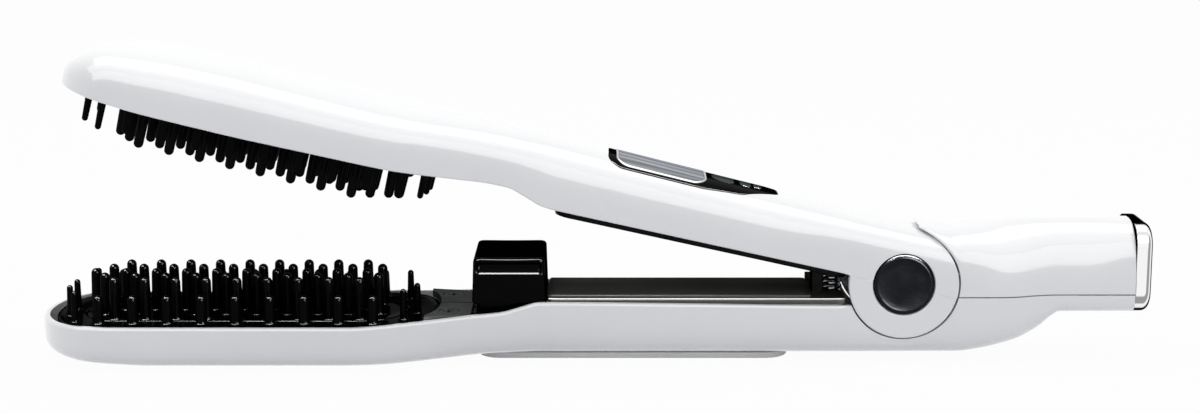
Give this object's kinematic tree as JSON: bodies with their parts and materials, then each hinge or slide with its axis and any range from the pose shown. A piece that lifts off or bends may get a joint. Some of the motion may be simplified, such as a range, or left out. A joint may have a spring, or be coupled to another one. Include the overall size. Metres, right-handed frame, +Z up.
{
  "type": "steam hair straightener brush",
  "caption": "Two hinged white arms with black brush heads whose pins interleave, a lift-out water tank, a display panel with three buttons, and a chrome cord end.",
  "frame": {"origin": "on the table, below the middle of the overall length", "axes": "+X from the brush heads to the cord end, +Y across the width, +Z up"},
  "size_m": [0.3276, 0.05, 0.0934],
  "materials": {
    "shell_white": "glossy white moulded shell",
    "pad_white": "satin white pad",
    "frame_black": "glossy black",
    "pin_black": "glossy black, heat-resistant",
    "handle_grey": "dark grey, satin",
    "cover_black": "black",
    "tank_black": "glossy smoked black",
    "panel_black": "piano black",
    "rubber_grey": "grey silicone rubber",
    "chrome": "polished plating",
    "swivel_grey": "dark grey",
    "lens_grey": "grey-tinted clear window",
    "steel": "plain steel",
    "bracket_grey": "glass-filled plastic",
    "bronze": "sintered bronze",
    "washer_white": "natural white",
    "cast_aluminium": "cast",
    "motor_grey": "grey housing",
    "heater_tan": "ceramic bars in insulating film",
    "board_green": "circuit board"
  },
  "bodies": {
    "lower_arm": {"lower_shell": "shell_white", "rear_cover": "shell_white", "end_cap": "chrome", "swivel_clip": "steel", "bottom_pad": "pad_white", "lower_brush_frame": "frame_black", "lower_heater_plate": "pin_black", "neck_plate": "frame_black", "neck_screws": "steel", "lower_handle_cover": "handle_grey", "lower_trim": "chrome", "handle_screw": "steel", "tank_seal": "rubber_grey", "steam_generator": "cast_aluminium", "water_pump": "motor_grey", "water_tubes": "washer_white", "lower_heaters": "heater_tan", "thermostat": "steel", "pump_board": "board_green", "hinge_bracket": "bracket_grey", "hinge_bushes": "bronze", "hinge_washers": "washer_white", "hinge_pin": "steel", "tail_screw": "steel", "opening_stop": "cover_black", "spring_cup": "steel", "opening_spring": "steel"},
    "upper_arm": {"upper_shell": "shell_white", "hinge_caps": "cover_black", "upper_handle_cover": "cover_black", "upper_trim": "chrome", "upper_brush_frame": "frame_black", "upper_heater_plate": "pin_black", "upper_heaters": "heater_tan", "thermistor": "steel", "upper_screws": "steel", "control_panel": "panel_black", "display_bezel": "chrome", "display_lens": "lens_grey", "display_module": "motor_grey", "control_board": "board_green", "key_switches": "steel"},
    "tank": {"water_tank": "tank_black", "tank_plug": "rubber_grey"},
    "swivel": {"cord_swivel": "swivel_grey"},
    "power_key": {"power_button": "panel_black"},
    "plus_key": {"plus_button": "panel_black"},
    "minus_key": {"minus_button": "panel_black"}
  },
  "joints": [
    {"name": "arm_hinge", "type": "hinge", "parent": "lower_arm", "child": "upper_arm", "pos_m": [0.0905, 0, 0.0241], "axis": [0, -1, 0], "range_deg": [0, 10.8], "stiffness_Nm_per_rad": 1.2, "springref_deg": -20.05, "deforming": ["opening_spring"]},
    {"name": "tank_lift", "type": "slide", "parent": "lower_arm", "child": "tank", "axis": [0, 0, -1], "range_m": [-0.016, 0]},
    {"name": "cord_turn", "type": "hinge", "parent": "lower_arm", "child": "swivel", "pos_m": [0.1588, 0, 0.02745], "axis": [1, 0, 0], "continuous": true},
    {"name": "power_press", "type": "slide", "parent": "upper_arm", "child": "power_key", "axis": [-0.2164, 0, -0.9763], "range_m": [0, 0.0006], "stiffness_N_per_m": 400},
    {"name": "plus_press", "type": "slide", "parent": "upper_arm", "child": "plus_key", "axis": [-0.2164, 0, -0.9763], "range_m": [0, 0.0006], "stiffness_N_per_m": 400},
    {"name": "minus_press", "type": "slide", "parent": "upper_arm", "child": "minus_key", "axis": [-0.2164, 0, -0.9763], "range_m": [0, 0.0006], "stiffness_N_per_m": 400}
  ]
}
